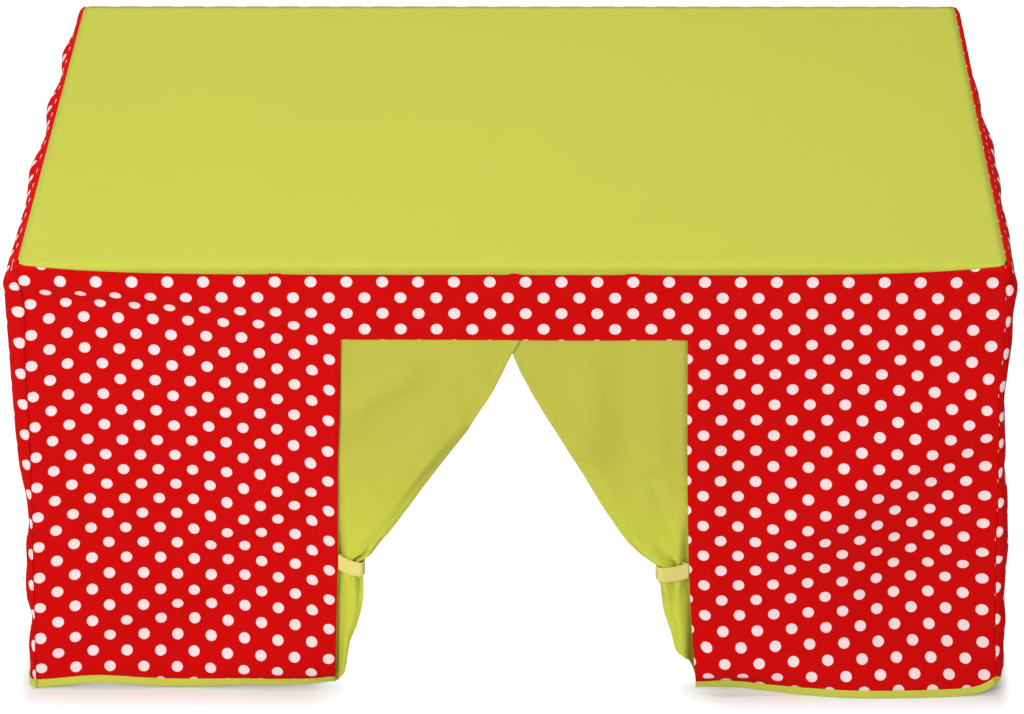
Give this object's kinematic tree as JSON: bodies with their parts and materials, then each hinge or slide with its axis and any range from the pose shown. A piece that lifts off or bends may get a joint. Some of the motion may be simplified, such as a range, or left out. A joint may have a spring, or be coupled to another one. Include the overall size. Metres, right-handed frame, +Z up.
{
  "type": "table play tent",
  "caption": "Cloth cover that hangs over a table to make a play house, with a doorway in front and curtains tied back at its sides.",
  "frame": {"origin": "on the floor under the middle of the cover", "axes": "+X to the right of someone who looks at the doorway, +Y from the doorway side to the back, +Z up"},
  "size_m": [1.4296, 0.9934, 0.6901],
  "materials": {
    "roof_cloth": "matte plain-weave cotton, lime",
    "wall_cloth": "matte plain-weave cotton, red with printed white dots",
    "curtain_cloth": "matte plain-weave cotton, lime",
    "binding_tape": "folded cotton binding, lime",
    "tie_tape": "cotton tape, pale yellow",
    "fastener_tape": "hook-and-loop tape, pale yellow"
  },
  "bodies": {
    "cover": {"roof_panel": "roof_cloth", "front_wall": "wall_cloth", "back_wall": "wall_cloth", "left_wall": "wall_cloth", "right_wall": "wall_cloth", "hem_binding_front_left": "binding_tape", "hem_binding_front_right": "binding_tape", "hem_binding_left": "binding_tape", "hem_binding_right": "binding_tape", "hem_binding_back": "binding_tape"},
    "left_curtain_body": {"left_curtain": "curtain_cloth", "left_tie_tab": "tie_tape", "left_loop_patch": "fastener_tape"},
    "right_curtain_body": {"right_curtain": "curtain_cloth", "right_tie_tab": "tie_tape", "right_loop_patch": "fastener_tape"},
    "left_tie": {"left_tie_strap": "tie_tape", "left_hook_patch": "fastener_tape"},
    "right_tie": {"right_tie_strap": "tie_tape", "right_hook_patch": "fastener_tape"}
  },
  "joints": [
    {"name": "left_curtain_swing", "type": "hinge", "parent": "cover", "child": "left_curtain_body", "pos_m": [-0.2511, -0.4695, 0], "axis": [0, 0, -1], "range_deg": [-30, 30]},
    {"name": "right_curtain_swing", "type": "hinge", "parent": "cover", "child": "right_curtain_body", "pos_m": [0.2511, -0.4695, 0], "axis": [0, 0, 1], "range_deg": [-30, 30]},
    {"name": "left_tie_open", "type": "hinge", "parent": "left_curtain_body", "child": "left_tie", "pos_m": [-0.2511, -0.4695, 0], "axis": [0, 0, -1], "range_deg": [0, 90]},
    {"name": "right_tie_open", "type": "hinge", "parent": "right_curtain_body", "child": "right_tie", "pos_m": [0.2511, -0.4695, 0], "axis": [0, 0, 1], "range_deg": [0, 90]}
  ]
}
